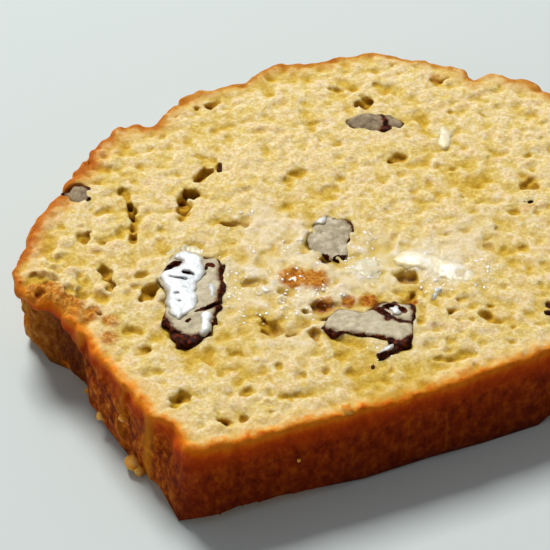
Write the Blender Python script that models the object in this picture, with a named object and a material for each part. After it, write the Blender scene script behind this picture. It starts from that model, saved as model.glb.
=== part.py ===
"""A slice of pecan quick bread, lying on one cut face, with butter melted on the other.

+Z is up. X runs along the loaf's base, from one side wall to the other, and Y runs up the
slice from the base crust to the domed top. The lower cut face lies at z = 0, and the middle
of the slice's box stands over the origin.
"""

import math
import random

import bmesh
import bpy
from mathutils import Matrix, Vector, noise

MM = 0.001

# The slice: thickness, full height, and the heights and half widths of its section.
THICKNESS = 18.0 * MM
HEIGHT = 94.6 * MM
BASE_SAG = 1.6 * MM
CORNER_RADIUS = 7.0 * MM
WALL_FOOT_HALF = 45.45 * MM
RIM_HALF = 55.4 * MM
RIM_HEIGHT = 45.0 * MM
LIP_OVERHANG = 4.4 * MM
LIP_RISE = 7.0 * MM
DOME_RISE = 41.0 * MM
LEFT_DOME_POWER = 1.5
RIGHT_DOME_POWER = 2.0

# Crags of the split top crust: place along X, rise (or notch, if negative) and half width.
CRAGS = (
    (-29.0 * MM, 3.8 * MM, 6.0 * MM),
    (-20.5 * MM, -1.8 * MM, 3.2 * MM),
    (9.0 * MM, 1.9 * MM, 7.0 * MM),
    (28.0 * MM, 3.0 * MM, 8.0 * MM),
    (44.5 * MM, -5.0 * MM, 2.6 * MM),
)

# Creases that the folded baking paper pressed into the walls: side, height up the wall,
# depth and half width.
CREASES = (
    (-1, 38.0 * MM, 1.3 * MM, 3.6 * MM),
    (-1, 21.0 * MM, 0.5 * MM, 1.8 * MM),
    (-1, 7.5 * MM, 1.2 * MM, 2.4 * MM),
    (1, 34.0 * MM, 0.9 * MM, 2.4 * MM),
    (1, 15.0 * MM, 1.1 * MM, 2.2 * MM),
)

OUTLINE_STEP = 2.9 * MM
DOME_ROUGHNESS = 0.55 * MM
CRUST_RELIEF = 0.75 * MM
RELIEF_SCALE = 4.5 * MM
WALL_ROWS = 6
GAP = 0.3 * MM

# Large pores of the upper face: centre, length, width, depth and turn in degrees.
LARGE_PORES = (
    (-20.2, 18.2, 7.0, 4.4, 5.0, -15),
    (-24.0, 13.2, 6.8, 3.2, 3.6, 58),
    (-16.4, 22.0, 3.4, 2.2, 3.0, 30),
    (-33.2, 18.3, 4.6, 1.7, 2.6, 82),
    (-35.0, 11.8, 5.2, 1.6, 2.6, 70),
    (-43.5, 1.6, 5.6, 1.9, 2.6, 84),
    (-37.6, -4.6, 5.6, 2.3, 3.0, 42),
    (-17.4, 6.9, 4.8, 1.9, 2.8, -28),
    (-42.4, -32.1, 3.4, 2.5, 2.2, 0),
    (21.4, 30.2, 4.4, 2.0, 2.8, 18),
    (-20.3, -22.4, 4.8, 2.4, 2.8, -58),
    (-14.3, -26.4, 2.8, 1.9, 2.2, 70),
    (19.4, 12.0, 2.9, 2.6, 3.0, 0),
    (39.6, -4.6, 4.2, 2.4, 2.4, 24),
    (9.8, -17.9, 4.2, 2.0, 1.6, -20),
    (-7.6, 41.0, 3.6, 2.0, 2.4, 10),
    (-33.0, 30.6, 3.8, 2.0, 2.2, 35),
)
SMALL_PORES_TOP = 52
SMALL_PORES_UNDERSIDE = 46
SMALL_PORE_RADIUS = (0.9 * MM, 1.9 * MM)
SMALL_PORE_SPREAD = 118 * MM
CRUST_CLEARANCE = 1.6 * MM
PORE_SEED = 11

# Lumps: how uneven each kind is, the size of that unevenness, and how far apart the noise of
# two lumps is read. A lump longer than LONG_LUMP, or a pore wider than WIDE_PORE, is rounder.
PECAN_UNEVENNESS = 0.22
BUTTER_UNEVENNESS = 0.15
LARGE_PORE_UNEVENNESS = 0.35
SMALL_PORE_UNEVENNESS = 0.3
LUMP_DETAIL = 1.6
LUMP_SPREAD = 700
LONG_LUMP = 8
WIDE_PORE = 1.1 * MM
PECAN_SINK = 0.15
SHADING_ANGLE = math.radians(40)

# Pieces of pecan cut by the knife: centre, length, width, depth, turn in degrees and how far
# the cut face stands above (or lies below) the crumb.
PECANS = {
    "pecan_left": (-31.2, -10.6, 22.4, 12.6, 7.5, 71, 0.5),
    "pecan_right": (-3.3, -27.4, 17.4, 6.4, 6.5, -27, 0.2),
    "pecan_right_fold": (-3.0, -35.0, 9.6, 2.6, 4.0, 22, 0.2),
    "pecan_centre": (-0.4, -3.4, 10.6, 8.6, 5.5, 118, 0.6),
    "pecan_rim": (-40.9, 25.9, 6.6, 4.2, 5.0, 46, 0.1),
    "pecan_back": (20.6, 23.4, 12.6, 3.6, 5.0, -28, 0.1),
    "pecan_edge": (27.8, -36.4, 4.0, 3.0, 3.5, 30, 0.0),
    "pecan_chip_back": (-12.3, 23.0, 3.9, 2.9, 3.0, 50, 0.0),
    "pecan_chip_far": (37.2, -9.2, 3.2, 2.4, 3.0, 20, 0.0),
}

# Butter: centre, length, width, thickness and turn in degrees.
BUTTER = {
    "butter_smear": (13.6, -17.9, 15.6, 5.4, 1.9, -38),
    "butter_dab": (31.0, 14.3, 5.6, 3.4, 1.5, 72),
}

CRUMB_COLOUR = (0.80, 0.60, 0.27)
PECAN_COLOUR = (0.42, 0.27, 0.14)
BUTTER_COLOUR = (0.90, 0.80, 0.52)


def clear_scene():
    for obj in list(bpy.data.objects):
        bpy.data.objects.remove(obj, do_unlink=True)


def new_collection(name):
    collection = bpy.data.collections.new(name)
    bpy.context.scene.collection.children.link(collection)
    return collection


def new_material(name, colour, roughness):
    """A plain food surface of one colour."""
    material = bpy.data.materials.new(name)
    material.use_nodes = True
    shader = material.node_tree.nodes["Principled BSDF"]
    shader.inputs["Base Color"].default_value = (*colour, 1.0)
    shader.inputs["Roughness"].default_value = roughness
    shader.inputs["Metallic"].default_value = 0.0
    return material


def new_object(name, bm, collection, material=None):
    """An object that takes over a bmesh."""
    mesh = bpy.data.meshes.new(name)
    bm.to_mesh(mesh)
    bm.free()
    if material:
        mesh.materials.append(material)
    obj = bpy.data.objects.new(name, mesh)
    collection.objects.link(obj)
    return obj


def gaussian(distance, half_width):
    return math.exp(-((distance / half_width) ** 2))


def dome_point(turn, power):
    """A point of the domed top, for a turn from 0 at the lip to a quarter turn at the middle."""
    x = (RIM_HALF + LIP_OVERHANG) * math.cos(turn) ** (2 / power)
    y = RIM_HEIGHT + LIP_RISE + DOME_RISE * math.sin(turn) ** (2 / power)
    return x, y


def half_outline(power, steps=24):
    """One side of the section, from the middle of the base up to the middle of the dome."""
    flare = math.atan((RIM_HALF - WALL_FOOT_HALF) / RIM_HEIGHT)
    corner_y = BASE_SAG + CORNER_RADIUS
    wall_y = corner_y - CORNER_RADIUS * math.sin(flare)
    wall_x = WALL_FOOT_HALF + wall_y * math.tan(flare)
    corner_x = wall_x - CORNER_RADIUS * math.cos(flare)
    points = []
    for step in range(steps):
        share = step / steps
        points.append((share * corner_x, BASE_SAG * share**2))
    for step in range(steps):
        turn = -math.pi / 2 + (math.pi / 2 - flare) * step / steps
        x = corner_x + CORNER_RADIUS * math.cos(turn)
        points.append((x, corner_y + CORNER_RADIUS * math.sin(turn)))
    for step in range(steps):
        share = step / steps
        x = wall_x + (RIM_HALF - wall_x) * share
        points.append((x, wall_y + (RIM_HEIGHT - wall_y) * share))
    for step in range(steps):
        turn = math.pi / 2 * step / steps
        x = RIM_HALF + LIP_OVERHANG * math.sin(turn)
        points.append((x, RIM_HEIGHT + LIP_RISE * (1 - math.cos(turn))))
    for step in range(4 * steps + 1):
        points.append(dome_point(math.pi / 2 * step / (4 * steps), power))
    return points


def whole_outline():
    """The closed section, counter-clockwise, with its crags and creases."""
    right = half_outline(RIGHT_DOME_POWER)
    left = half_outline(LEFT_DOME_POWER)
    sides = right + [(-x, y) for x, y in reversed(left[1:-1])]
    shaped = []
    for x, y in sides:
        side = 1 if x > 0 else -1
        if y > RIM_HEIGHT + LIP_RISE:
            y += sum(rise * gaussian(x - place, half) for place, rise, half in CRAGS)
        elif abs(x) > WALL_FOOT_HALF - CORNER_RADIUS:
            for crease_side, place, depth, half in CREASES:
                if crease_side == side:
                    x -= side * depth * gaussian(y - place, half)
        shaped.append(Vector((x, y - HEIGHT / 2)))
    return shaped


def resample(points, step):
    """The same closed line with points at even steps."""
    loop = points + points[:1]
    lengths = [(b - a).length for a, b in zip(loop, loop[1:])]
    count = round(sum(lengths) / step)
    spacing = sum(lengths) / count
    result, place, travelled = [], 0, 0.0
    for index in range(count):
        while travelled + lengths[place] < index * spacing:
            travelled += lengths[place]
            place += 1
        share = (index * spacing - travelled) / lengths[place]
        result.append(loop[place].lerp(loop[place + 1], share))
    return result


def roughened(points):
    """The outline with the uneven, torn edge of the top crust and a calmer tin side."""
    result = []
    count = len(points)
    for index, point in enumerate(points):
        along = points[(index + 1) % count] - points[index - 1]
        outward = Vector((along.y, -along.x)).normalized()
        above_rim = point.y + HEIGHT / 2 > RIM_HEIGHT
        amount = DOME_ROUGHNESS if above_rim else DOME_ROUGHNESS / 3
        place = Vector((point.x, point.y, 0.0)) / RELIEF_SCALE
        result.append(point + outward * amount * noise.noise(place))
    return result


def centred(points):
    """The outline moved so that the middle of its box lies on the origin."""
    xs = [point.x for point in points]
    ys = [point.y for point in points]
    middle = Vector((min(xs) + max(xs), min(ys) + max(ys))) / 2
    return [point - middle for point in points]


def clearance(point, outline):
    """Distance from a point to the outline, negative outside it."""
    nearest = math.inf
    inside = False
    for a, b in zip(outline, outline[1:] + outline[:1]):
        edge = b - a
        share = max(0.0, min(1.0, (point - a).dot(edge) / edge.length_squared))
        nearest = min(nearest, (point - a - edge * share).length)
        if (a.y > point.y) != (b.y > point.y):
            if point.x < a.x + (point.y - a.y) / (b.y - a.y) * (b.x - a.x):
                inside = not inside
    return nearest if inside else -nearest


def make_slab(name, outline, collection, material):
    """The slice before its pores: the filled outline at full thickness, as a mesh."""
    curve = bpy.data.curves.new(name, "CURVE")
    curve.dimensions = "2D"
    curve.fill_mode = "BOTH"
    curve.extrude = THICKNESS / 2
    spline = curve.splines.new("POLY")
    spline.points.add(len(outline) - 1)
    for point, place in zip(spline.points, outline):
        point.co = (place.x, place.y, 0.0, 1.0)
    spline.use_cyclic_u = True
    source = bpy.data.objects.new(name + "_outline", curve)
    source.location.z = THICKNESS / 2
    bpy.context.scene.collection.objects.link(source)
    bpy.context.view_layer.update()
    graph = bpy.context.evaluated_depsgraph_get()
    mesh = bpy.data.meshes.new_from_object(source.evaluated_get(graph))
    bm = bmesh.new()
    bm.from_mesh(mesh)
    bm.transform(source.matrix_world)
    bpy.data.objects.remove(source, do_unlink=True)
    bpy.data.meshes.remove(mesh)
    bmesh.ops.remove_doubles(bm, verts=bm.verts, dist=GAP / 10)
    for row in range(1, WALL_ROWS):
        bmesh.ops.bisect_plane(
            bm,
            geom=bm.verts[:] + bm.edges[:] + bm.faces[:],
            plane_co=(0.0, 0.0, THICKNESS * row / WALL_ROWS),
            plane_no=(0.0, 0.0, 1.0),
        )
    bmesh.ops.recalc_face_normals(bm, faces=bm.faces)
    roughen_walls(bm)
    return new_object(name, bm, collection, material)


def roughen_walls(bm):
    """Lumps the crust between the two cut faces, most on the split top crust."""
    bm.normal_update()
    moves = []
    for vert in bm.verts:
        share = vert.co.z / THICKNESS
        if not 0.01 < share < 0.99:
            continue
        above_rim = vert.co.y + HEIGHT / 2 > RIM_HEIGHT
        amount = CRUST_RELIEF if above_rim else CRUST_RELIEF / 2
        amount *= math.sin(math.pi * share) ** 0.5
        outward = Vector((vert.normal.x, vert.normal.y, 0.0)).normalized()
        moves.append((vert, outward * amount * noise.noise(vert.co / RELIEF_SCALE)))
    for vert, move in moves:
        vert.co += move


def lump(size, place, turn, subdivisions, unevenness, grow=0.0):
    """A rounded uneven lump: an icosphere drawn out to a size, turned and put in place."""
    bm = bmesh.new()
    bmesh.ops.create_icosphere(bm, subdivisions=subdivisions, radius=1.0)
    for vert in bm.verts:
        seed = Vector((place.x, place.y, 0.0)) * LUMP_SPREAD
        direction = vert.co.normalized()
        reach = 1.0 + unevenness * noise.noise(direction * LUMP_DETAIL + seed)
        stretched = Vector([a * b * reach for a, b in zip(direction, size)])
        outward = Vector([a / b for a, b in zip(direction, size)]).normalized()
        vert.co = stretched + outward * grow
    bm.transform(Matrix.Translation(place) @ Matrix.Rotation(turn, 4, "Z"))
    return bm


def make_cutter(name, bm, collection):
    """A hidden shape that the slice is cut with."""
    cutter = new_object(name, bm, collection)
    cutter.hide_render = True
    cutter.display_type = "WIRE"
    return cutter


def cut_flat(bm, height):
    """Cuts a lump off level at a height, as the knife did, and closes the cut."""
    cut = bmesh.ops.bisect_plane(
        bm,
        geom=bm.verts[:] + bm.edges[:] + bm.faces[:],
        plane_co=(0.0, 0.0, height),
        plane_no=(0.0, 0.0, 1.0),
        clear_outer=True,
    )
    edges = [part for part in cut["geom_cut"] if isinstance(part, bmesh.types.BMEdge)]
    bmesh.ops.contextual_create(bm, geom=edges)


def make_pecan(name, sizes, collection, cutters, material):
    """A piece of nut set in the crumb, and the pocket that the crumb leaves for it."""
    x, y, length, width, depth, turn, proud = sizes
    place = Vector((x * MM, y * MM, THICKNESS - PECAN_SINK * depth * MM))
    size = Vector((length, width, 2 * depth)) * MM / 2
    shape = (size, place, math.radians(turn), 3 if length > LONG_LUMP else 2, PECAN_UNEVENNESS)
    piece = lump(*shape)
    cut_flat(piece, THICKNESS + proud * MM)
    make_cutter("pocket_" + name, lump(*shape, grow=GAP), cutters)
    obj = new_object(name, piece, collection, material)
    obj.data.shade_smooth()
    obj.data.set_sharp_from_angle(angle=SHADING_ANGLE)
    return obj


def make_butter(name, sizes, collection, cutters, material):
    """A low pool of butter, partly soaked into a hollow of the crumb."""
    x, y, length, width, thickness, turn = sizes
    place = Vector((x * MM, y * MM, THICKNESS))
    size = Vector((length, width, thickness)) * MM / 2
    shape = (size, place, math.radians(turn), 3 if length > LONG_LUMP else 2, BUTTER_UNEVENNESS)
    make_cutter("hollow_" + name, lump(*shape, grow=GAP), cutters)
    obj = new_object(name, lump(*shape), collection, material)
    obj.data.shade_smooth()
    return obj


def make_large_pores(collection):
    for index, (x, y, length, width, depth, turn) in enumerate(LARGE_PORES):
        place = Vector((x * MM, y * MM, THICKNESS))
        size = Vector((length / 2, width / 2, depth)) * MM
        bm = lump(size, place, math.radians(turn), 2, LARGE_PORE_UNEVENNESS)
        make_cutter(f"large_pore_{index}", bm, collection)


def occupied(top):
    """The places that small pores keep clear of: centre and radius of each, in metres."""
    if not top:
        return []
    taken = [(x, y, length / 2) for x, y, length, *_ in LARGE_PORES]
    for x, y, length, *_ in list(PECANS.values()) + list(BUTTER.values()):
        taken.append((x, y, length / 2))
    return [(Vector((x * MM, y * MM)), radius * MM) for x, y, radius in taken]


def make_small_pores(count, height, outline, rng, collection):
    """Scatters pores over one cut face, each clear of the crust and of its neighbours."""
    taken = occupied(height > 0)
    low, high = SMALL_PORE_RADIUS
    made = 0
    while made < count:
        across, up = rng.uniform(-0.5, 0.5), rng.uniform(-0.5, 0.5)
        place = Vector((across * SMALL_PORE_SPREAD, up * HEIGHT))
        radius = low + (high - low) * rng.random() ** 2
        turn = rng.uniform(0, math.pi)
        if clearance(place, outline) < radius + CRUST_CLEARANCE:
            continue
        if any((place - other).length < radius + reach + GAP for other, reach in taken):
            continue
        taken.append((place, radius))
        size = Vector((radius, radius * rng.uniform(0.5, 0.9), radius * rng.uniform(0.7, 1.1)))
        centre = Vector((place.x, place.y, height))
        bm = lump(size, centre, turn, 1 if radius < WIDE_PORE else 2, SMALL_PORE_UNEVENNESS)
        make_cutter(f"small_pore_{height > 0:d}_{made}", bm, collection)
        made += 1


def main():
    clear_scene()
    bread = new_collection("pecan_bread_slice")
    cutters = new_collection("cutters")
    crumb = new_material("crumb", CRUMB_COLOUR, 0.8)
    nut = new_material("pecan", PECAN_COLOUR, 0.5)
    butter = new_material("butter", BUTTER_COLOUR, 0.25)

    outline = centred(roughened(resample(whole_outline(), OUTLINE_STEP)))
    slab = make_slab("bread_slice", outline, bread, crumb)
    for name, sizes in PECANS.items():
        make_pecan(name, sizes, bread, cutters, nut)
    for name, sizes in BUTTER.items():
        make_butter(name, sizes, bread, cutters, butter)
    rng = random.Random(PORE_SEED)
    make_large_pores(cutters)
    make_small_pores(SMALL_PORES_TOP, THICKNESS, outline, rng, cutters)
    make_small_pores(SMALL_PORES_UNDERSIDE, 0.0, outline, rng, cutters)

    carve = slab.modifiers.new("carve", "BOOLEAN")
    carve.operation = "DIFFERENCE"
    carve.operand_type = "COLLECTION"
    carve.collection = cutters


main()
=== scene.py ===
import math
import random

import bmesh
import bpy
import numpy as np
from mathutils import Matrix, Vector


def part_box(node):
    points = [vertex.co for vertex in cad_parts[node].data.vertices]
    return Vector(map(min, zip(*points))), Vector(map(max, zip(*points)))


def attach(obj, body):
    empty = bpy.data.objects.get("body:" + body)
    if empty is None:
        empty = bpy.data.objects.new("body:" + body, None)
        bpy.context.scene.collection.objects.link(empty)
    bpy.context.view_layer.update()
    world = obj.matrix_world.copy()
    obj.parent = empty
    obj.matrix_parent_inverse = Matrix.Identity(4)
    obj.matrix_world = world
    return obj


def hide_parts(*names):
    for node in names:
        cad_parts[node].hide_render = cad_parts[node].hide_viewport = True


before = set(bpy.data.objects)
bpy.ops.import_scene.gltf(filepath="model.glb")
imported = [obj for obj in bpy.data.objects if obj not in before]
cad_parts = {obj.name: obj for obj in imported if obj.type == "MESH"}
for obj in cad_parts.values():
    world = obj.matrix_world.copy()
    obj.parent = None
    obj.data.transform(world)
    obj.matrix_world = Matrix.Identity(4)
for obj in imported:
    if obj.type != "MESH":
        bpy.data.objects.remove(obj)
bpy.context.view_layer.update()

MM = 0.001
scene = bpy.context.scene

# ---------------------------------------------------------------- camera, light and floor
# The camera looks down at the upper cut face from 43 degrees, turned 22.5 degrees off the
# slice's base. A soft light behind the slice makes the wet crumb shine, and a weak one on the
# left lifts the shaded crust. The slice lies on a plain pale floor.
CAMERA_AIM = Vector((-14.9, -9.8, 18.0)) * MM
CAMERA_DISTANCE = 412.8 * MM
CAMERA_AZIMUTH = -22.5
CAMERA_ELEVATION = 43.0
CAMERA_LENS = 147.4
FLOOR_SIZE = 3.0
UNDER_SLICE = 0.1 * MM


def direction(azimuth, elevation):
    """Unit vector towards an azimuth and elevation, with azimuth 0 at -Y, as the views have it."""
    turn, rise = math.radians(azimuth), math.radians(elevation)
    return Vector((math.sin(turn) * math.cos(rise), -math.cos(turn) * math.cos(rise), math.sin(rise)))


def linear(hex_colour):
    """Linear RGBA of an sRGB hex colour."""
    parts = [int(hex_colour[i:i + 2], 16) / 255 for i in (1, 3, 5)]
    return tuple(p / 12.92 if p <= 0.04045 else ((p + 0.055) / 1.055) ** 2.4 for p in parts) + (1.0,)


def add_node(tree, kind, inputs=None, stops=None, gives=None, **settings):
    """Adds a shader node with its settings, ramp stops, and values or links for its inputs.
    Returns the output that gives names, or else the first one in use."""
    new = tree.nodes.new(kind)
    for name, value in settings.items():
        setattr(new, name, value)
    for name, value in (inputs or {}).items():
        if isinstance(value, bpy.types.NodeSocket):
            tree.links.new(value, new.inputs[name])
        else:
            new.inputs[name].default_value = value
    if stops:
        elements = new.color_ramp.elements
        while len(elements) < len(stops):
            elements.new(1.0)
        for element, (place, colour) in zip(elements, stops):
            element.position = place
            element.color = linear(colour) if isinstance(colour, str) else (colour,) * 3 + (1.0,)
    return new.outputs[gives] if gives else next(out for out in new.outputs if out.enabled)


def new_material(name):
    """A material with its node tree and Principled shader."""
    material = bpy.data.materials.new(name)
    material.use_nodes = True
    tree = material.node_tree
    return material, tree, tree.nodes["Principled BSDF"]


camera_data = bpy.data.cameras.new("camera")
camera_data.lens = CAMERA_LENS
camera = bpy.data.objects.new("camera", camera_data)
scene.collection.objects.link(camera)
view_from = direction(CAMERA_AZIMUTH, CAMERA_ELEVATION)
camera.location = CAMERA_AIM + view_from * CAMERA_DISTANCE
camera.rotation_euler = view_from.to_track_quat("Z", "Y").to_euler()
scene.camera = camera
scene.view_settings.view_transform = "Standard"


def soft_light(name, azimuth, elevation, distance, size, power, colour):
    """A square area light aimed at the slice."""
    data = bpy.data.lights.new(name, "AREA")
    data.size = size
    data.energy = power
    data.color = linear(colour)[:3]
    lamp = bpy.data.objects.new(name, data)
    towards = direction(azimuth, elevation)
    lamp.location = towards * distance
    lamp.rotation_euler = towards.to_track_quat("Z", "Y").to_euler()
    scene.collection.objects.link(lamp)


soft_light("back_light", azimuth=CAMERA_AZIMUTH + 204, elevation=55, distance=1.5, size=0.5,
           power=25.0, colour="#FFFDF8")
soft_light("left_light", azimuth=CAMERA_AZIMUTH - 45, elevation=20, distance=1.2, size=0.8,
           power=1.7, colour="#FFF4E8")
world = bpy.data.worlds.new("studio")
world.use_nodes = True
world.node_tree.nodes["Background"].inputs["Color"].default_value = linear("#F2F4F4")
world.node_tree.nodes["Background"].inputs["Strength"].default_value = 0.26
scene.world = world

bpy.ops.mesh.primitive_plane_add(size=FLOOR_SIZE, location=(0, 0, -UNDER_SLICE))
floor = bpy.context.object
floor.name = "floor"
# Matt white paint: a plain pale ground with hardly any shine.
matt_white, tree, shader = new_material("matt_white_paint")
shader.inputs["Base Color"].default_value = linear("#C6CFD0")
shader.inputs["Roughness"].default_value = 0.8
shader.inputs["Specular IOR Level"].default_value = 0.2
floor.data.materials.append(matt_white)

# ---------------------------------------------------------------- pecan pieces
# Pecans stirred into the batter and cut through by the knife: cream flesh in a thin, wrinkled
# dark skin. Each is grown on a small grid of distances, in millimetres, from its outline on
# the cut face, and its body goes down into the crumb.
CUT_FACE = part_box("bread_slice")[1][2] / MM
PECAN_STEP = 0.22
PECAN_TRIANGLES = 24_000
# How far apart the points of a smooth outline lie, and a distance that is outside every piece.
CURVE_STEP = 0.4
FAR_OUT = 9.0
# The slope at which a nut's sides draw in as they go down.
NARROWING = 0.3
# How far the skin's wrinkles stand out, how much less the flesh's do, and the broad lumps.
SKIN_WRINKLES, FLESH_SMOOTHER, BROAD_LUMPS = 0.22, 0.14, 0.10

# outer and each line in flesh are outlines on the cut face. edge is how high the rim stands
# over the face, crown how far the middle rises over the rim, and reach how far in from the rim
# it does so. holes are hollows in the nut, as centre, length, width, depth and turn in degrees.
PECANS = {
    "pecan_left": dict(
        outer=((-30.7, 2.5), (-28.1, 2.9), (-25.1, 0.6), (-22.4, -1.5), (-22.2, -3.8), (-23.6, -6.8),
               (-24.2, -9.5), (-25.6, -11.2), (-27.6, -14.3), (-28.9, -16.0), (-30.6, -19.1),
               (-33.2, -20.6), (-34.8, -21.6), (-37.0, -21.0), (-38.4, -20.6), (-38.6, -19.0),
               (-37.9, -15.8), (-38.5, -13.6), (-37.2, -11.4), (-35.9, -8.2), (-35.0, -5.6),
               (-35.4, -2.8), (-33.6, -0.6)),
        flesh=(((-31.2, 3.6), (-27.9, 3.9), (-24.6, 1.4), (-23.0, -1.2), (-23.3, -3.2), (-24.6, -6.4),
                (-25.4, -9.0), (-27.0, -11.6), (-28.6, -14.6), (-30.2, -17.4), (-31.9, -19.3),
                (-33.0, -19.0), (-35.0, -18.8), (-36.6, -17.4), (-37.3, -15.0), (-37.2, -11.6),
                (-36.6, -7.7), (-36.4, -4.6), (-36.0, -1.6), (-33.6, 0.8)),),
        edge=-0.2, crown=0.7, reach=1.6, depth=7.0,
        holes=((-32.0, -1.0, 2.8, 1.3, 1.6, 28), (-30.5, -0.4, 1.8, 1.1, 0.8, -30),
               (-29.7, -3.6, 2.8, 1.1, 1.6, -49), (-31.9, -4.1, 2.6, 0.6, 1.0, -35),
               (-33.2, -8.0, 1.2, 0.6, 1.2, -20), (-33.6, -10.1, 0.7, 0.6, 1.0, 0),
               (-34.3, -15.3, 0.8, 0.7, 1.0, 0), (-24.6, -0.8, 1.2, 0.7, 1.2, -20),
               (-26.3, -3.5, 0.7, 0.5, 0.9, 0), (-24.8, -3.2, 1.2, 0.6, 0.5, -50),
               (-28.4, -13.3, 3.2, 0.6, 1.4, 4))),
    "pecan_right": dict(
        outer=((-12.2, -24.6), (-11.2, -22.9), (-8.8, -22.1), (-6.3, -22.5), (-4.0, -24.1),
               (-2.4, -23.6), (-0.2, -23.2), (1.4, -23.7), (3.5, -24.7), (5.0, -26.2), (5.1, -28.1),
               (4.1, -29.9), (3.2, -31.6), (1.9, -33.5), (1.4, -34.7), (0.2, -35.7), (-1.8, -35.2),
               (-3.3, -33.3), (-4.6, -31.8), (-6.1, -30.6), (-8.0, -29.6), (-9.8, -28.4),
               (-11.0, -29.0), (-12.0, -28.2)),
        flesh=(((-11.4, -24.5), (-9.2, -22.7), (-6.4, -22.9), (-4.1, -24.4), (-1.4, -25.4),
                (-0.7, -27.0), (0.2, -28.8), (1.6, -29.8), (2.9, -31.2), (1.8, -33.4), (-0.9, -34.0),
                (-2.4, -32.8), (-3.9, -31.6), (-5.9, -30.4), (-7.8, -29.2), (-9.8, -28.0),
                (-11.6, -26.4)),
               ((-1.5, -24.8), (0.4, -24.3), (1.9, -24.7), (3.6, -25.6), (4.4, -27.0), (4.0, -28.9),
                (2.9, -30.4), (1.4, -29.2), (0.1, -28.1), (-0.4, -26.6))),
        edge=-0.1, crown=0.4, reach=1.2, depth=6.0,
        holes=((-0.6, -26.4, 2.2, 0.5, 0.6, -62), (1.2, -25.6, 2.0, 0.9, 0.5, -20),
               (2.6, -27.2, 1.4, 0.8, 0.6, -60))),
    "pecan_right_fold": dict(
        outer=((-0.8, -33.9), (1.5, -34.1), (1.2, -35.4), (-0.6, -36.5), (-2.4, -36.4), (-4.4, -36.8),
               (-6.7, -37.9), (-8.5, -38.4), (-8.5, -37.0), (-6.8, -36.1), (-5.1, -35.2),
               (-3.2, -34.4)),
        flesh=(), edge=-0.3, crown=0.6, reach=1.2, depth=3.5, holes=()),
    "pecan_centre": dict(
        outer=((-5.9, -2.4), (-3.5, 0.4), (-1.2, 2.0), (1.1, 2.5), (3.5, 1.8), (4.4, 0.1), (4.2, -2.4),
               (3.2, -5.0), (1.9, -7.3), (0.6, -9.0), (-1.1, -10.6), (-2.8, -10.4), (-4.6, -8.2),
               (-6.3, -5.4)),
        flesh=(((-7.4, -2.0), (-3.8, 1.8), (-1.2, 3.4), (1.2, 3.4), (3.1, 1.6), (3.4, -2.4),
                (2.6, -5.4), (1.2, -8.0), (-0.4, -10.4), (-3.0, -12.0), (-6.0, -8.8), (-8.0, -5.4)),),
        edge=-0.6, crown=0.6, reach=3.0, depth=5.0,
        holes=((-4.9, -8.1, 2.4, 1.4, 1.6, -30), (-2.3, -10.0, 2.2, 1.2, 1.6, 10))),
    "pecan_rim": dict(
        outer=((-44.0, 26.2), (-42.3, 28.3), (-40.3, 28.9), (-38.6, 27.8), (-37.9, 25.6),
               (-39.2, 23.1), (-41.2, 22.3), (-43.2, 23.1)),
        flesh=(((-43.4, 26.0), (-42.0, 27.6), (-40.4, 27.9), (-39.0, 26.6), (-38.9, 24.6),
                (-40.6, 23.0), (-42.6, 23.6)),),
        edge=-0.3, crown=0.5, reach=1.8, depth=4.5, holes=()),
    "pecan_back": dict(
        outer=((14.9, 25.8), (17.8, 27.0), (21.5, 26.1), (24.8, 23.8), (26.5, 21.4), (25.0, 20.0),
               (21.0, 20.3), (16.6, 22.4)),
        flesh=(((14.4, 26.4), (17.8, 27.6), (21.4, 26.6), (22.0, 24.2), (21.0, 21.6), (18.8, 21.0),
                (15.6, 22.2)),
               ((22.9, 24.6), (24.8, 23.4), (26.0, 21.4), (24.6, 20.4), (22.8, 21.4))),
        edge=-0.25, crown=0.5, reach=1.4, depth=4.5, holes=()),
    "pecan_edge": dict(
        outer=((26.0, -36.5), (27.8, -35.0), (28.9, -35.2), (28.6, -37.3), (26.8, -38.5)),
        flesh=(), edge=-0.3, crown=0.4, reach=1.0, depth=3.0, holes=()),
    "pecan_chip_back": dict(
        outer=((-14.0, 23.2), (-11.8, 24.9), (-10.5, 24.7), (-10.5, 22.4), (-12.4, 20.9),
               (-14.0, 21.0)),
        flesh=(), edge=-0.7, crown=0.4, reach=1.0, depth=2.5, holes=()),
    "pecan_chip_far": dict(
        outer=((36.0, -8.3), (37.3, -7.3), (38.6, -7.8), (38.6, -9.4), (37.1, -10.6), (35.9, -10.1)),
        flesh=(), edge=-0.5, crown=0.4, reach=1.0, depth=2.5, holes=()),
}


def closed_curve(points, step):
    """A smooth closed curve through points, as points about a step apart."""
    points = np.asarray(points, float)
    before, after = np.roll(points, 1, 0), np.roll(points, -1, 0)
    beyond = np.roll(points, -2, 0)
    pieces = []
    for p0, p1, p2, p3 in zip(before, points, after, beyond):
        count = max(2, int(np.hypot(*(p2 - p1)) / step))
        t = (np.arange(count) / count)[:, None]
        pieces.append(0.5 * (2 * p1 + (p2 - p0) * t + (2 * p0 - 5 * p1 + 4 * p2 - p3) * t**2
                             + (3 * p1 - p0 - 3 * p2 + p3) * t**3))
    return np.concatenate(pieces)


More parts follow.
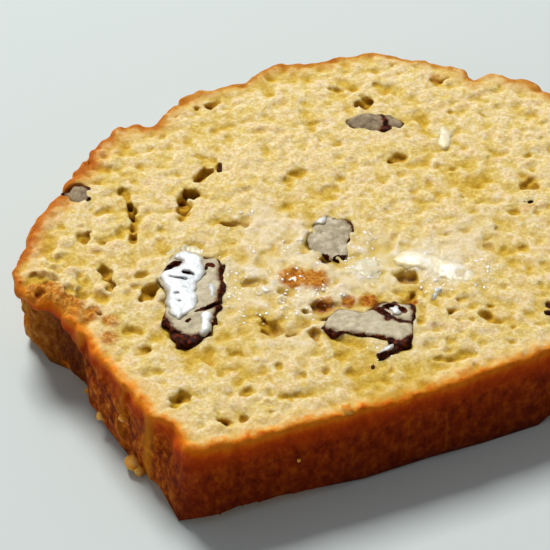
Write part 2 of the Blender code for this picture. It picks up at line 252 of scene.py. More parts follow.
def outline_distance(outline, xs, ys):
    """Signed distance of each grid place to an outline, negative inside, and the run along it."""
    edges = np.roll(outline, -1, 0) - outline
    lengths = np.hypot(edges[:, 0], edges[:, 1])
    runs = np.concatenate([[0.0], np.cumsum(lengths)[:-1]])
    distance = np.full((len(xs), len(ys)), np.inf, np.float32)
    along = np.zeros((len(xs), len(ys)), np.float32)
    inside = np.zeros((len(xs), len(ys)), bool)
    px, py = np.meshgrid(xs, ys, indexing="ij")
    for (ax, ay), (ex, ey), length, run in zip(outline, edges, lengths, runs):
        share = np.clip(((px - ax) * ex + (py - ay) * ey) / (length * length + 1e-9), 0, 1)
        gap = np.hypot(px - ax - ex * share, py - ay - ey * share)
        nearer = gap < distance
        distance[nearer] = gap[nearer]
        along[nearer] = run + share[nearer] * length
        crosses = (ay > ys) != (ay + ey > ys)
        if crosses.any() and ey:
            limit = ax + (ys[crosses] - ay) / ey * ex
            inside[:, crosses] ^= xs[:, None] < limit[None, :]
    return np.where(inside, -distance, distance), along


def gap_to(points, xs, ys):
    """Signed distance of each grid place to the smooth closed curve through a few points."""
    return outline_distance(closed_curve(points, CURVE_STEP), xs, ys)[0]


def spline_weights(count, step, scale, shift):
    """Cubic spline weights that spread a coarse row of random numbers over a fine one."""
    place = np.arange(count) * step / scale + shift
    first = np.floor(place).astype(int)
    t = place - first
    weights = np.zeros((count, first.max() + 4), np.float32)
    rows = np.arange(count)
    weights[rows, first] = (1 - t) ** 3 / 6
    weights[rows, first + 1] = (3 * t**3 - 6 * t**2 + 4) / 6
    weights[rows, first + 2] = (-3 * t**3 + 3 * t**2 + 3 * t + 1) / 6
    weights[rows, first + 3] = t**3 / 6
    return weights


def lumps(shape, step, scale, seed):
    """Smooth random relief over a grid, with lumps of one size, spread about 1 either way."""
    rng = np.random.default_rng(seed)
    weights = [spline_weights(n, step, scale, rng.random()) for n in shape]
    values = rng.standard_normal([w.shape[1] for w in weights]).astype(np.float32)
    for w in weights:
        values = np.tensordot(values, w, axes=(0, 1))
    return values / values.std()


def smooth_max(a, b, radius):
    """The larger of two distances, with the corner between them rounded."""
    return 0.5 * (a + b + np.sqrt((a - b) ** 2 + radius * radius))


def skin_of(field, origin, step):
    """The closed surface around the places where a field is negative, as points and quads."""
    inside = field < 0
    cells = tuple(n - 1 for n in field.shape)
    corners = list(np.ndindex(2, 2, 2))
    count = np.zeros(cells, np.uint8)
    for i, j, k in corners:
        count += inside[i:i + cells[0], j:j + cells[1], k:k + cells[2]]
    crossed = (count > 0) & (count < 8)
    index = np.full(cells, -1, np.int32)
    index[crossed] = np.arange(crossed.sum(), dtype=np.int32)
    places = np.argwhere(crossed)
    values = {c: field[tuple((places + c).T)] for c in corners}
    total = np.zeros((len(places), 3), np.float32)
    hits = np.zeros(len(places), np.float32)
    for a in corners:
        for axis in range(3):
            if a[axis]:
                continue
            b = tuple(v + (i == axis) for i, v in enumerate(a))
            cut = (values[a] < 0) != (values[b] < 0)
            share = values[a][cut] / (values[a][cut] - values[b][cut])
            total[cut] += np.array(a, np.float32)
            total[cut, axis] += share
            hits[cut] += 1
    points = (places + total / hits[:, None]) * step + origin
    quads = []
    for axis in range(3):
        u, v = [i for i in range(3) if i != axis]
        low = [slice(1, -1)] * 3
        low[axis] = slice(0, -1)
        high = list(low)
        high[axis] = slice(1, None)
        edge = np.argwhere(inside[tuple(low)] != inside[tuple(high)])
        edge[:, u] += 1
        edge[:, v] += 1
        around = []
        for du, dv in ((0, 0), (-1, 0), (-1, -1), (0, -1)):
            cell = edge.copy()
            cell[:, u] += du
            cell[:, v] += dv
            around.append(index[tuple(cell.T)])
        quad = np.stack(around, 1)
        turned = inside[tuple(edge.T)] == (axis == 1)
        quad[turned] = quad[turned][:, ::-1]
        quads.append(quad)
    return points.astype(np.float32), np.concatenate(quads)


def largest_body(points, quads):
    """Drops every sealed bubble and loose scrap, and keeps the one largest surface."""
    label = np.arange(len(points))
    while True:
        least = label[quads].min(axis=1)
        new = label.copy()
        for column in quads.T:
            np.minimum.at(new, column, least)
        new = new[new]
        if (new == label).all():
            break
        label = new
    kept = label == np.bincount(label).argmax()
    place = np.cumsum(kept) - 1
    return points[kept], place[quads[kept[quads[:, 0]]]]


def mesh_object(name, points, quads, most, spare=None):
    """An object, in metres, from points in millimetres, collapsed to at most so many triangles.
    Points with a high spare number are collapsed first."""
    corners = quads.shape[1]
    triangles = (corners - 2) * len(quads)
    mesh = bpy.data.meshes.new(name)
    mesh.vertices.add(len(points))
    mesh.vertices.foreach_set("co", points.astype(np.float32).ravel())
    mesh.loops.add(quads.size)
    mesh.loops.foreach_set("vertex_index", quads.astype(np.int32).ravel())
    mesh.polygons.add(len(quads))
    mesh.polygons.foreach_set("loop_start", np.arange(0, quads.size, corners, dtype=np.int32))
    mesh.update(calc_edges=True)
    obj = bpy.data.objects.new(name, mesh)
    scene.collection.objects.link(obj)
    if triangles > most:
        modifier = obj.modifiers.new("thin", "DECIMATE")
        modifier.ratio = most / triangles
        if spare is not None:
            group = obj.vertex_groups.new(name="spare")
            levels = np.round(np.clip(spare, 0, 1) * 10).astype(int)
            for level in range(11):
                group.add(np.flatnonzero(levels == level).tolist(), level / 10, "REPLACE")
            modifier.vertex_group = "spare"
            modifier.vertex_group_factor = 0.02
        graph = bpy.context.evaluated_depsgraph_get()
        thinned = bpy.data.meshes.new_from_object(obj.evaluated_get(graph))
        obj.modifiers.clear()
        obj.vertex_groups.clear()
        obj.data = thinned
        bpy.data.meshes.remove(mesh)
        thinned.name = name
    obj.data.transform(Matrix.Scale(MM, 4))
    obj.data.shade_smooth()
    return obj


def mesh_points(obj):
    """An object's points, in millimetres."""
    co = np.empty(len(obj.data.vertices) * 3, np.float32)
    obj.data.vertices.foreach_get("co", co)
    return co.reshape(-1, 3) / MM


def read_grid(grid, origin, step, points):
    """A grid's value at each point, between its nearest places. A flat grid ignores height."""
    axes = grid.ndim
    place = (points[:, :axes] - np.asarray(origin)[:axes]) / step
    low = np.clip(np.floor(place).astype(int), 0, np.array(grid.shape) - 2)
    share = np.clip(place - low, 0, 1)
    result = np.zeros(len(points), np.float32)
    for corner in np.ndindex(*(2,) * axes):
        weight = np.ones(len(points), np.float32)
        for axis, side in enumerate(corner):
            weight *= share[:, axis] if side else 1 - share[:, axis]
        result += weight * grid[tuple((low + corner).T)]
    return result


def set_attribute(obj, name, values):
    """Stores one number for each point, which the material reads by name."""
    layer = obj.data.attributes.new(name, "FLOAT", "POINT")
    layer.data.foreach_set("value", np.asarray(values, np.float32))


def grid_lines(low, high, step):
    """The places of a grid along each axis, from one corner to the other."""
    return [np.arange(a, b + step, step) for a, b in zip(low, high)]


def hollow_distance(offsets, a, b, c, turn):
    """Distance to an oval hollow from offsets along x, y and z, with its half sizes and turn."""
    dx, dy, dz = offsets
    cos, sin = math.cos(math.radians(turn)), math.sin(math.radians(turn))
    along, across = dx * cos + dy * sin, dy * cos - dx * sin
    return (np.sqrt((along / a) ** 2 + (across / b) ** 2 + (dz / c) ** 2) - 1) * min(a, b, c)


def pecan_top(piece, xs, ys):
    """Height of a pecan's cut surface over the grid, and the distance to its outer edge."""
    gap = gap_to(piece["outer"], xs, ys)
    rise = np.clip(-gap / piece["reach"], 0, 1)
    return CUT_FACE + piece["edge"] + piece["crown"] * np.sqrt(rise * (2 - rise)), gap


def pecan_distance(piece, xs, ys, zs):
    """Signed distance to a pecan's body, which narrows as it goes down into the crumb."""
    top, gap = pecan_top(piece, xs, ys)
    down = CUT_FACE - zs[None, None, :]
    side = gap[:, :, None] + NARROWING * np.clip(down, 0, None)
    body = smooth_max(side, zs[None, None, :] - top[:, :, None], 0.4)
    return smooth_max(body, down - piece["depth"], 1.2)


def pecan_holes(piece, xs, ys, zs):
    """Distance to the nearest small hollow in a pecan's cut surface, with ragged edges."""
    nearest = np.full((len(xs), len(ys), len(zs)), FAR_OUT, np.float32)
    for x, y, length, width, depth, turn in piece["holes"]:
        offsets = (xs[:, None, None] - x, ys[None, :, None] - y, zs[None, None, :] - CUT_FACE - 0.3)
        nearest = np.minimum(nearest, hollow_distance(offsets, length / 2, width / 2, depth, turn))
    return nearest + lumps(nearest.shape, PECAN_STEP, 0.6, 70) * 0.1


def pecan_box(piece):
    """The lowest and highest corners of the space round a pecan."""
    outer = np.array(piece["outer"])
    low = np.append(outer.min(0) - 1.5, CUT_FACE - piece["depth"] - 1.5)
    high = np.append(outer.max(0) + 1.5, CUT_FACE + piece["edge"] + piece["crown"] + 1.5)
    return low, high


def split_pecan(name, flesh_tones):
    """Pecan: pale, waxy flesh with a fine mottle, in a wrinkled near-black skin that glints.
    The wrinkles are drawn a little coarser than real ones, so that they show."""
    material, tree, shader = new_material(name)
    coords = add_node(tree, "ShaderNodeTexCoord", gives="Object")
    flesh = add_node(tree, "ShaderNodeAttribute", gives="Fac", attribute_name="flesh")
    ragged, grain, wrinkle = [
        add_node(tree, "ShaderNodeTexNoise", {"Vector": coords, "Scale": 1 / (size * MM),
                                              "Detail": detail, "Roughness": roughness})
        for size, detail, roughness in ((1.1, 6.0, 0.65), (2.0, 7.0, 0.7), (0.8, 6.0, 0.7))]
    edge = add_node(tree, "ShaderNodeMath", {0: ragged, 1: 1.6, 2: -0.8}, operation="MULTIPLY_ADD")
    place = add_node(tree, "ShaderNodeMath", {0: flesh, 1: edge}, operation="ADD")
    dark, mid, light = flesh_tones
    cream = add_node(tree, "ShaderNodeValToRGB", {"Fac": grain},
                     stops=[(0.34, dark), (0.50, mid), (0.66, light)])
    skin = add_node(tree, "ShaderNodeValToRGB", {"Fac": wrinkle},
                    stops=[(0.36, "#0C0200"), (0.50, "#300A00"), (0.64, "#742A06")])
    under = add_node(tree, "ShaderNodeMapRange", {"Value": place, "From Min": 0.0, "From Max": 0.6})
    rim = add_node(tree, "ShaderNodeMix", {0: under, 6: linear("#7A5A3C"), 7: cream},
                   data_type="RGBA")
    is_flesh = add_node(tree, "ShaderNodeMapRange",
                        {"Value": place, "From Min": -0.08, "From Max": 0.08})
    colour = add_node(tree, "ShaderNodeMix", {0: is_flesh, 6: skin, 7: rim}, data_type="RGBA")
    bump = add_node(tree, "ShaderNodeBump",
                    {"Height": wrinkle, "Strength": 0.8, "Distance": 0.3 * MM})
    gloss = add_node(tree, "ShaderNodeMapRange", {"Value": is_flesh, "To Min": 0.34, "To Max": 0.45})
    tree.links.new(colour, shader.inputs["Base Color"])
    tree.links.new(bump, shader.inputs["Normal"])
    tree.links.new(gloss, shader.inputs["Roughness"])
    shader.inputs["Specular IOR Level"].default_value = 0.07
    shader.inputs["Subsurface Weight"].default_value = 0.08
    shader.inputs["Subsurface Radius"].default_value = (1.0, 0.7, 0.4)
    shader.inputs["Subsurface Scale"].default_value = 0.5 * MM
    return material


# Most flesh is pale, the nut in the butter is greyer, and the two by the crust are toasted.
pale_pecan = split_pecan("split_pecan", ("#A4987E", "#C2B79A", "#D6CDB4"))
buttered_pecan = split_pecan("buttered_pecan", ("#8E826C", "#B0A48A", "#D4CAB4"))
toasted_pecan = split_pecan("toasted_pecan", ("#685844", "#8E7C64", "#B2A284"))
finishes = {"pecan_rim": toasted_pecan, "pecan_back": toasted_pecan, "pecan_centre": buttered_pecan}
for seed, (node, piece) in enumerate(PECANS.items()):
    low, high = pecan_box(piece)
    xs, ys, zs = grid_lines(low, high, PECAN_STEP)
    field = pecan_distance(piece, xs, ys, zs)
    flesh_gap = np.full((len(xs), len(ys)), 1.0)
    for line in piece["flesh"]:
        flesh_gap = np.minimum(flesh_gap, gap_to(line, xs, ys))
    bare = np.clip(0.5 - flesh_gap, 0, 1)[:, :, None]
    relief = lumps(field.shape, PECAN_STEP, 0.8, seed) * (SKIN_WRINKLES - FLESH_SMOOTHER * bare)
    relief += lumps(field.shape, PECAN_STEP, 2.0, seed + 20) * BROAD_LUMPS
    holes = pecan_holes(piece, xs, ys, zs)
    field = smooth_max(field + relief, -holes, 0.12)
    points, quads = largest_body(*skin_of(field, low, PECAN_STEP))
    pecan = mesh_object(node + "_nut", points, quads, PECAN_TRIANGLES)
    # The flesh shows inside its outlines on the cut surface, and skin below it and in the holes.
    points = mesh_points(pecan)
    top = read_grid(pecan_top(piece, xs, ys)[0], low, PECAN_STEP, points)
    flesh = np.maximum(-read_grid(flesh_gap, low, PECAN_STEP, points), -1)
    flesh -= 6 * np.clip(top - points[:, 2] - 0.35, 0, 1)
    inside_hole = read_grid(holes, low, PECAN_STEP, points) < 0.3
    set_attribute(pecan, "flesh", np.where(inside_hole, -1, flesh))
    pecan.data.materials.append(finishes.get(node, pale_pecan))
    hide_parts(node)
    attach(pecan, "root")

# ---------------------------------------------------------------- bread slice
# A slice cut from a loaf of quick bread: a moist, open yellow crumb inside a thin browned
# crust. It was baked in a flared tin lined with paper, which creased the walls, and its top
# split as it rose. Its shape is carved out of a grid of distances, in millimetres.
GRID_STEP = 0.36
SLICE_LOW = np.array((-63.0, -50.0, -1.2))
SLICE_HIGH = np.array((63.0, 50.0, CUT_FACE + 1.2))
SLICE_TRIANGLES = 192_000
# Where the loaf's base and the rim of its tin lie along y. Above the rim its top split.
BASE_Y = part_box("bread_slice")[0][1] / MM
RIM_Y = BASE_Y + 46.0
# How far the relief stands out: lumps on the wall, and more on the top; grit on the wall, and
# more on its sides and lips; waves, crumb and bubbles on the cut faces, and crags at the lips.
WALL_LUMPS, TOP_LUMPS = 0.14, 0.26
WALL_GRIT, SIDE_GRIT, LIP_GRIT = 0.07, 0.16, 0.32
FACE_WAVES, CRUMB_GRIT, CRUMB_BUBBLES, LIP_CRAGS = 0.12, 0.13, 0.28, 0.42
# How softly the wall turns into a cut face, and a cut face into a pore or a nut's pocket.
CORNER_ROUNDING, PORE_ROUNDING, POCKET_ROUNDING = 0.8, 0.5, 0.3
# The room round each nut, and how much the crumb that clings to it changes that.
NUT_POCKET, CLINGING_CRUMB = 0.35, 0.45

# Pores that show as holes of their own: centre, length, width, depth and turn in degrees.
LARGE_PORES = (
    (-21.4, 17.2, 5.6, 3.2, 4.5, -5), (-23.4, 13.9, 4.6, 1.9, 2.1, 52),
    (-25.2, 11.6, 1.8, 1.0, 1.0, 50), (-16.4, 22.0, 3.4, 2.2, 2.0, 30),
    (-32.7, 22.9, 2.2, 1.5, 1.3, -30), (-32.9, 19.2, 5.6, 1.0, 2.4, 84),
    (-33.4, 15.4, 5.6, 1.1, 2.6, 74), (-34.7, 11.8, 5.4, 1.0, 1.6, 68),
    (-43.5, 1.6, 5.6, 1.9, 1.7, 84), (-36.7, -4.4, 4.6, 2.0, 2.0, 31),
    (-17.4, 6.9, 4.8, 1.9, 1.8, -28), (-42.4, -32.1, 3.4, 2.5, 1.4, 0),
    (21.4, 30.2, 4.4, 2.0, 1.8, 18), (-20.3, -22.4, 4.8, 2.4, 1.8, -58),
    (-14.3, -26.4, 2.8, 1.9, 1.4, 70), (19.4, 12.0, 2.9, 2.6, 2.0, 0),
    (39.6, -4.6, 4.2, 2.4, 1.6, 24), (6.8, -19.0, 4.2, 3.0, 1.4, -15),
    (-7.6, 41.0, 3.6, 2.0, 1.3, 10), (-9.0, -21.2, 7.4, 2.2, 0.8, -16),
    (-43.6, 13.8, 2.6, 2.2, 1.0, 0),
)
# Smaller pits, whose length lies level in the camera's view: centre, length, width and depth.
PITS = (
    (-36.2, 12.2, 2.4, 1.8, 1.0), (-46.5, 18.4, 1.4, 1.2, 0.7), (-50.9, 13.3, 1.4, 1.6, 0.8),
    (-49.0, 9.9, 1.8, 1.6, 0.8), (-44.4, 9.1, 2.6, 1.2, 0.7), (-41.4, 11.5, 1.6, 1.6, 0.7),
    (-31.1, 9.5, 3.6, 1.2, 0.6), (-50.6, 6.9, 1.2, 1.2, 0.7), (-37.6, -0.1, 1.6, 1.6, 0.9),
    (-47.6, 1.2, 1.0, 2.4, 0.9), (-45.9, -3.2, 1.6, 1.4, 0.9), (-44.3, -12.5, 2.4, 1.6, 1.1),
    (-48.1, -7.0, 1.2, 1.0, 1.2), (-43.1, -18.8, 1.4, 1.6, 1.6), (-33.3, -24.0, 2.4, 2.4, 1.2),
    (-33.8, -26.8, 0.9, 1.6, 1.2), (-54.3, 4.7, 3.0, 1.4, 1.3), (-19.7, 1.4, 1.8, 1.8, 0.6),
    (-5.0, -8.8, 2.2, 1.6, 2.0), (-2.2, -11.2, 2.8, 1.6, 1.6), (-20.0, -9.2, 3.0, 2.2, 1.3),
    (-9.6, -1.5, 1.4, 1.4, 0.6), (-14.5, -14.1, 2.2, 1.6, 1.4), (-17.9, -24.5, 2.6, 1.8, 1.3),
    (-23.1, -31.3, 1.4, 1.4, 0.9), (-15.9, -35.9, 1.2, 1.2, 1.0), (-11.9, -33.3, 1.0, 1.4, 1.1),
    (-30.3, -34.7, 2.2, 1.6, 1.6), (-22.8, -39.6, 4.6, 1.2, 0.9), (-36.5, -40.6, 1.8, 1.6, 1.5),
    (-33.8, -41.0, 1.2, 1.2, 1.2), (27.1, 32.8, 3.2, 1.8, 0.8), (37.6, 30.6, 2.4, 1.8, 1.2),
    (3.1, 7.0, 2.8, 1.4, 0.8), (0.5, 15.3, 2.0, 1.6, 0.8), (14.4, 7.3, 1.6, 1.6, 0.7),
    (20.4, -2.3, 4.4, 1.2, 1.0), (27.9, 5.0, 2.0, 2.0, 0.8), (32.9, 0.1, 1.8, 1.6, 0.9),
    (28.9, 0.1, 1.8, 1.4, 0.7), (36.9, 5.1, 2.0, 2.8, 0.8), (5.6, -24.4, 2.6, 2.4, 1.4),
    (12.9, -30.5, 3.0, 2.6, 1.5), (16.0, -33.2, 2.6, 1.8, 1.8), (18.3, -32.2, 1.4, 0.9, 1.2),
    (18.1, -36.3, 2.0, 1.4, 1.2), (19.3, -38.5, 0.9, 0.9, 1.4), (4.1, -36.9, 2.4, 1.4, 1.0),
    (7.9, -37.1, 2.0, 1.2, 1.0), (8.7, -41.5, 2.6, 1.4, 1.1), (4.4, -40.8, 2.2, 1.6, 1.2),
    (17.3, -41.8, 1.6, 1.2, 1.1), (25.2, -17.6, 1.6, 1.6, 0.9), (27.2, -19.0, 1.2, 1.8, 0.9),
    (30.3, -20.3, 2.0, 1.6, 1.0), (32.4, -26.2, 2.2, 1.8, 1.0),
)
# Scattered pores of each cut face: how many, and their least and greatest radius. Finer ones
# than these are left to the bump in the material.
SCATTERED_PORES = ((40, 0.5, 0.85), (260, 0.28, 0.45))
# Folds of the paper: a point on the wall, how far the crust stands out, and its half width.
CREASES = ((-53.8, -9.6, 0.6, 1.1), (-48.8, -34.0, 0.5, 1.4), (-50.5, -26.0, 0.3, 1.2))
FAINT_CREASES = 70
# Where the baked wall stands further out than the plain slice, or further in where the distance
# is negative: centre, radius and distance. The feet do so at the floor only, the dents only near
# the cut face, and below each lip the wall is hollowed out.
HOLLOWS = ((-58.5, 0.0, 9.0, -3.2), (58.5, 0.0, 9.0, -3.2))
DENTS = ((-47.4, -37.8, 2.6, -1.5), (-43.6, -42.4, 1.8, 0.5))
SWELLS = (
    (-41.0, 30.5, 6.0, 1.2), (-35.0, 36.5, 4.5, 1.7), (-23.5, 41.5, 4.0, 0.9),
    (-10.5, 46.0, 4.0, 1.3), (6.0, 46.5, 4.0, 0.4), (21.5, 46.5, 6.0, 1.0), (44.0, 33.0, 4.5, 1.0),
    (55.0, 23.5, 4.5, 1.3), (43.3, 31.5, 2.5, 1.0), (47.5, 26.3, 2.5, 1.3), (-59.0, 9.0, 2.5, 0.6),
    (-59.5, 0.0, 5.5, -1.6), (-48.0, 23.5, 4.0, 0.5),
)
FEET = (
    (-43.0, -46.0, 7.0, 1.4), (-47.5, -41.0, 6.0, 1.6), (-50.6, -27.0, 5.0, 0.6),
    (-20.0, -48.0, 18.0, 0.8), (15.0, -48.0, 18.0, 0.8),
)
# Spots where butter soaked in, which the colour paints paler partly as sheen, and browned spots:
# centre, radius and strength.
WET_SPOTS = (
    (-28.0, -8.0, 12.0, 1.0), (-17.0, -10.0, 10.0, 1.0), (-4.0, -5.0, 10.0, 1.2),
    (4.0, -14.0, 10.0, 1.6), (-8.0, -18.0, 10.0, 1.0), (13.0, -18.0, 9.0, 1.2),
    (-12.0, 4.0, 9.0, 0.6), (24.0, -14.0, 9.0, 0.5), (-18.0, -26.0, 8.0, 0.5),
    (0.0, -34.0, 8.0, 0.5),
)
BROWN_SPOTS = (
    (-12.0, -11.4, 4.2, 1.3), (-8.6, -13.6, 4.2, 1.2), (-9.5, -20.0, 3.0, 0.9),
    (-1.8, -22.2, 2.8, 1.2), (-5.2, -20.9, 2.4, 1.0), (5.6, -25.2, 2.4, 0.8),
    (-56.0, 1.5, 6.5, 1.0), (-52.5, -3.0, 5.0, 1.0), (-49.6, -6.5, 3.6, 0.9),
    (-46.8, -9.5, 3.0, 0.8), (-48.5, -13.5, 3.2, 0.8), (-36.5, -40.6, 2.0, 0.6),
    (36.6, -11.0, 3.5, 0.5), (-34.0, -26.2, 1.6, 0.6), (6.0, -40.5, 3.0, 0.4),
    (37.6, 32.0, 3.0, 0.6),
)


def node_outline(node):
    """The outer edge of a node's underside, as a closed line of points in millimetres."""
    bm = bmesh.new()
    bm.from_mesh(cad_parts[node].data)
    bmesh.ops.remove_doubles(bm, verts=bm.verts, dist=0.01 * MM)
    follows = {}
    for edge in bm.edges:
        if max(vert.co.z for vert in edge.verts) > 0.01 * MM or len(edge.link_faces) != 2:
            continue
        flat = [face.normal.z < -0.999 for face in edge.link_faces]
        if flat[0] != flat[1]:
            a, b = edge.verts
            follows.setdefault(a, []).append(b)
            follows.setdefault(b, []).append(a)
    line, seen = [], set()
    place = min(follows, key=lambda vert: vert.co.x)
    while place:
        seen.add(place)
        line.append((place.co.x / MM, place.co.y / MM))
        place = next((other for other in follows[place] if other not in seen), None)
    bm.free()
    return np.array(line)


def spots(places, xs, ys):
    """How strongly a list of round spots covers each grid place, from 0 to 1."""
    px, py = np.meshgrid(xs, ys, indexing="ij")
    cover = np.zeros(px.shape, np.float32)
    for x, y, radius, strength in places:
        share = np.clip(1.4 * (1 - np.hypot(px - x, py - y) / radius), 0, 1)
        cover = np.maximum(cover, strength * share * share * (3 - 2 * share))
    return cover


def swelling(places, xs, ys):
    """The sum of a list of round, smooth swellings over the grid."""
    px, py = np.meshgrid(xs, ys, indexing="ij")
    return sum(rise * np.exp(-((px - x) ** 2 + (py - y) ** 2) / radius**2)
               for x, y, radius, rise in places)


def paper_creases(outline, along, zs):
    """Ridges and grooves that the folds of the baking paper left, each running up the wall."""
    rng = random.Random(8)
    steps = np.hypot(*(np.roll(outline, -1, 0) - outline).T)
    runs = np.concatenate([[0.0], np.cumsum(steps)[:-1]])
    folds = []
    for x, y, height, width in CREASES:
        nearest = np.hypot(outline[:, 0] - x, outline[:, 1] - y).argmin()
        folds.append((runs[nearest], 0.0, height, width))
    for _ in range(FAINT_CREASES):
        height = rng.choice((-1, 1)) * rng.uniform(0.06, 0.22)
        folds.append((rng.uniform(0, steps.sum()), rng.uniform(-0.12, 0.12), height,
                      rng.uniform(0.35, 0.9)))
    relief = np.zeros(along.shape + (len(zs),), np.float32)
    middle = zs - CUT_FACE / 2
    around = steps.sum()
    for place, lean, height, width in folds:
        offset = (along - place + around / 2) % around - around / 2
        near = np.abs(offset) < 3 * width + abs(lean) * CUT_FACE / 2
        relief[near] += height * np.exp(-(((offset[near][:, None] - lean * middle) / width) ** 2))
    return relief


def random_pores(rng, outline_gap):
    """Scattered small pits in both cut faces, as centre, half sizes and turn."""
    found = []
    for level in (CUT_FACE, 0.0):
        for count, least, most in SCATTERED_PORES:
            made = 0
            while made < count:
                x, y = rng.uniform(-59, 59), rng.uniform(-47, 47)
                i = int((x - SLICE_LOW[0]) / GRID_STEP)
                j = int((y - SLICE_LOW[1]) / GRID_STEP)
                radius = least + (most - least) * rng.random() ** 1.7
                if outline_gap[i, j] > -radius - rng.uniform(0.8, 3.0):
                    continue
                z = level + rng.uniform(-0.3, 0.5) * radius * (1 if level else -1)
                found.append((x, y, z, radius * rng.uniform(1.0, 1.7), radius * rng.uniform(0.7, 1.0),
                              radius * rng.uniform(0.6, 1.0), rng.uniform(0, 180)))
                made += 1
    return found


def carve_pores(shape, pores):
    """Distance into the nearest pore: each is an uneven hollow, open at the cut face."""
    field = np.full(shape, FAR_OUT, np.float32)
    uneven = lumps(shape, GRID_STEP, 0.95, 5)
    for x, y, z, a, b, c, turn in pores:
        centre = np.array((x, y, z))
        reach = np.array((max(a, b), max(a, b), c)) * 1.5 + 0.8
        low = np.maximum(((centre - reach - SLICE_LOW) / GRID_STEP).astype(int), 0)
        high = np.minimum(((centre + reach - SLICE_LOW) / GRID_STEP).astype(int) + 2, shape)
        if (high <= low).any():
            continue
        box = tuple(slice(l, h) for l, h in zip(low, high))
        offsets = [g * GRID_STEP + o - m for g, o, m in zip(np.ogrid[box], SLICE_LOW, centre)]
        away = hollow_distance(offsets, a, b, c, turn)
        field[box] = np.minimum(field[box], away + uneven[box] * min(0.5 * c, 0.45 * b, 0.5))
    return field


def box_blur(values, reach):
    """The mean of a grid over a cube that reaches so many steps each way."""
    for axis in range(3):
        total = np.cumsum(values, axis=axis)
        last = values.shape[axis] - 1
        places = np.arange(last + 1)
        ahead = np.take(total, np.minimum(places + reach, last), axis)
        behind = np.take(total, np.maximum(places - reach - 1, 0), axis)
        values = (ahead - behind) / (2 * reach + 1)
    return values


